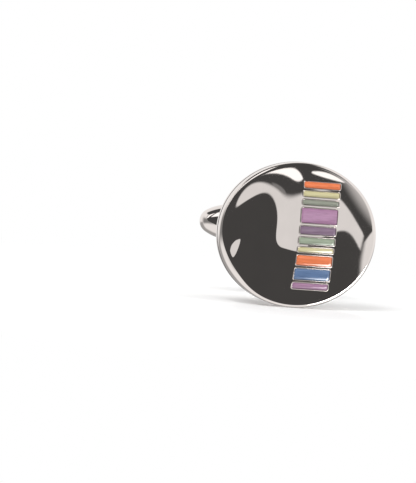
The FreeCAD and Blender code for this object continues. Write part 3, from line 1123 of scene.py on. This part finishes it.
@dataclass
class Studio:
    """Camera, lamps, pale floor and the pale surroundings with a dark front and its reflector cards.

    A field that ends in step is an edge and its softness, and one that ends in span two edges and theirs.
    """

    azimuth_deg: float = -13.3
    elevation_deg: float = 3.8
    roll_deg: float = 5.3
    distance: float = 450.0
    sensor: float = 36.0
    clip_m: Pair = (0.01, 10.0)
    pixels_per_mm: float = 8.52
    image_height: float = 483.0
    head_right_px: float = 87.3
    head_up_px: float = 7.3
    head_middle_y: float = -0.6
    floor_z: float = -8.56
    floor_reach: float = 900.0
    floor_start: float = 0.004
    floor_rings: int = 40
    floor_steps: int = 96
    floor_colour: Rgba = (0.93, 0.93, 0.93, 1)
    floor_rough: float = 0.9
    floor_fade_step: Pair = (0.045, 0.030)
    dark: float = 0.063
    pale: float = 0.95
    wall_shade: float = 0.70
    ambient: float = 0.55
    front_turn_deg: Triple = (0.6, 2.3, 0.0)
    least_ahead: float = 0.02
    ahead_step: Pair = (0.10, 0.08)
    hood_slant: float = 0.9
    hood_step: Pair = (-1.08, 0.06)
    ceiling_up_step: Pair = (0.80, 0.05)
    ceiling_front_step: Pair = (-0.32, 0.08)
    ceiling_span: Triple = (-0.85, 0.45, 0.12)
    side_step: Pair = (0.35, 0.35)
    side_front_step: Pair = (-0.30, 0.35)
    side_span: Triple = (-0.35, 0.35, 0.20)
    rear_step: Pair = (0.25, 0.20)
    rear_down_step: Pair = (0.16, 0.10)
    rear_share: float = 0.8
    hood: Spot = Spot((-0.80, 3.35), (2.15, 4.65), 1.0, power=4.0)
    strip: Card = Card(0.79, 2.0, Edge(-1.7), Edge(-0.78), 14.0, 0.05)
    cards: tuple[Card | Spot, ...] = (
        Card(0.005, 0.50, Edge(-0.012, -0.26), Edge(0.229, 0.0, -3.36, 0.358), 0.74, 0.006, 0.12),
        Card(0.35, 0.658, Edge(-0.012, 0.0, -14.0, 0.55), Edge(0.229, 0.0, -3.36, 0.358), 0.74, 0.006, 0.01),
        Card(0.00, 0.288, Edge(0.211, 0.60, -3.2, 0.07), Edge(0.213, 0.62, -2.0, 0.08), 1.25, 0.003, 0.07),
        Card(0.322, 0.52, Edge(0.392, -0.302), Edge(0.300, 0.0, -2.2, 0.345), 1.25, 0.003, 0.01),
        Card(0.45, 1.40, Edge(0.95, -1.38), Edge(0.60), 0.50, 0.05),
        Card(0.668, 1.40, Edge(-0.37), Edge(-1.44, 2.0), 0.80, 0.010, 0.02),
        Spot((0.135, 0.226), (0.045, 0.016), 0.17, soft=0.3),
        Card(-1.10, -0.18, Edge(0.95), Edge(3.60), 1.25, 0.08),
        Card(-2.25, -1.42, Edge(0.90), Edge(3.40), 1.25, 0.08),
    )
    lamps: tuple[Lamp, ...] = (
        Lamp("key_lamp", (-0.13, -0.17, 0.21), 0.16, 0.50),
        Lamp("fill_lamp", (0.20, -0.12, 0.16), 0.20, 0.22),
        Lamp("back_lamp", (0.02, 0.24, 0.20), 0.22, 0.30),
    )

    def build(self) -> None:
        """Sets up the view transform, camera, surroundings, lamps and floor."""
        bpy.context.scene.view_settings.view_transform = "Standard"
        self.camera()
        self.surroundings()
        for lamp in self.lamps:
            lamp.build()
        self.floor()

    def camera(self) -> None:
        """A long lens at the photo's viewing angle, rolled, with the head off the middle of the frame."""
        a, e, r = (math.radians(v) for v in (self.azimuth_deg, self.elevation_deg, self.roll_deg))
        back = Vector((math.sin(a) * math.cos(e), -math.cos(a) * math.cos(e), math.sin(e)))
        level = Vector((0, 0, 1)).cross(back).normalized()
        upright = back.cross(level)
        right = level * math.cos(r) + upright * math.sin(r)
        up = upright * math.cos(r) - level * math.sin(r)
        aim = Vector((0, self.head_middle_y, 0))
        aim -= right * (self.head_right_px / self.pixels_per_mm) + up * (self.head_up_px / self.pixels_per_mm)
        data = bpy.data.cameras.new("camera")
        data.sensor_width = self.sensor
        data.lens = self.sensor * self.distance * self.pixels_per_mm / self.image_height
        data.clip_start, data.clip_end = self.clip_m
        camera = bpy.data.objects.new("camera", data)
        turn = Matrix((right, up, back)).transposed().to_4x4()
        camera.matrix_world = Matrix.Translation((aim + back * self.distance) * MM) @ turn
        bpy.context.scene.collection.objects.link(camera)
        bpy.context.scene.camera = camera

    def surroundings(self) -> None:
        """The world: white to the camera, even light for the lamps' shadows, and the studio to gloss.

        Gloss sees pale walls, shaded at the left and low behind, and ahead a dark hood with the cards.
        """
        world = bpy.data.worlds.new("studio")
        world.use_nodes = True
        world.cycles.sampling_method = "NONE"
        bpy.context.scene.world = world
        tree = Tree(world.node_tree.nodes, world.node_tree.links)
        place = tree.node("TexCoord", {})["Generated"]
        angles = [math.radians(angle) for angle in self.front_turn_deg]
        x, y, z = tree.axes(tree.node("Mapping", {"Vector": place, "Rotation": angles})["Vector"])
        front = y * -1.0
        ahead = front.at_least(self.least_ahead)
        u = x / ahead
        v = z / ahead
        panel = self.cards[0].light(u, v)
        for card in self.cards[1:]:
            panel = panel.at_least(card.light(u, v))
        ahead_only = front.above(*self.ahead_step)
        hood = self.hood.light(u, v) * (v + u * self.hood_slant).above(*self.hood_step) * ahead_only
        ceiling = z.above(*self.ceiling_up_step) * front.above(*self.ceiling_front_step)
        ceiling = ceiling * x.between(*self.ceiling_span)
        side = (x * -1.0).above(*self.side_step) * front.above(*self.side_front_step)
        rear = y.above(*self.rear_step) * (z * -1.0).above(*self.rear_down_step) * self.rear_share
        shade = (side * z.between(*self.side_span)).at_least(rear)
        walls = self.pale - shade * self.wall_shade
        shown = hood * (panel + self.dark - walls) + walls
        shown = shown - ceiling * (1.0 - hood) * (shown - self.dark)
        shown = shown.at_least(self.strip.light(u, v) * ahead_only)
        path = tree.node("LightPath", {})
        camera = Signal(tree, path["Is Camera Ray"])
        gloss = Signal(tree, path["Is Glossy Ray"]).at_least(Signal(tree, path["Is Transmission Ray"]))
        light = gloss * (shown - self.ambient) + self.ambient
        light = camera * (1.0 - light) + light
        tree.fill(tree.nodes["Background"], {"Color": (1, 1, 1, 1), "Strength": light.socket})

    def floor(self) -> None:
        """A pale disc, r cos t and r sin t, with rings that widen outwards, and plain white far off."""
        cos, sin = circle(self.floor_steps).T
        radius = self.floor_reach * np.linspace(self.floor_start, 1, self.floor_rings)[:, None] ** 2
        rings = np.stack(np.broadcast_arrays(radius * cos, radius * sin, self.floor_z), -1)
        points = np.concatenate([rings.reshape(-1, 3), [[0, 0, self.floor_z]]]) * MM
        step = np.arange(self.floor_steps)
        fan = np.stack([np.full(self.floor_steps, len(points) - 1), step, np.roll(step, -1)], -1)
        bands = closed_bands(self.floor_rings, self.floor_steps, loop=False)
        mesh = bpy.data.meshes.new("floor")
        mesh.from_pydata(points.tolist(), [], bands.tolist() + fan.tolist())
        piece = bpy.data.objects.new("floor", mesh)
        bpy.context.scene.collection.objects.link(piece)
        piece.visible_glossy = False
        mesh.materials.append(self.floor_finish())

    def floor_finish(self) -> Material:
        """Pale paper near the object, fading to plain white for the camera further off.

        Returns:
            The material.
        """
        made, tree, shader = new_material("floor_paper")
        paper = {"Base Color": self.floor_colour, "Roughness": self.floor_rough, "Specular IOR Level": 0.0}
        tree.fill(shader, paper)
        far = tree.node("VectorMath", {0: tree.place()}, operation="LENGTH")
        path = tree.node("LightPath", {})
        fade = Signal(tree, far["Value"]).above(*self.floor_fade_step)
        fade = fade * Signal(tree, path["Is Camera Ray"])
        white = tree.node("Emission", {})
        shaders = {"Fac": fade.socket, 1: shader.outputs["BSDF"], 2: white["Emission"]}
        mix = tree.node("MixShader", shaders)
        tree.fill(tree.nodes["Material Output"], {"Surface": mix["Shader"]})
        return made


def main() -> None:
    """Builds the studio and each sub-assembly in order."""
    logging.basicConfig(level=logging.INFO, format="%(name)s: %(message)s")
    Studio().build()
    metal = PolishedMetal().material()
    steel = SpringSteel().material()
    face = Face()
    row = EnamelRow(face)
    Head(face, row, metal).build()
    row.build()
    Post(metal).build()
    Toggle(metal, steel).build()


if __name__ == "__main__":
    main()
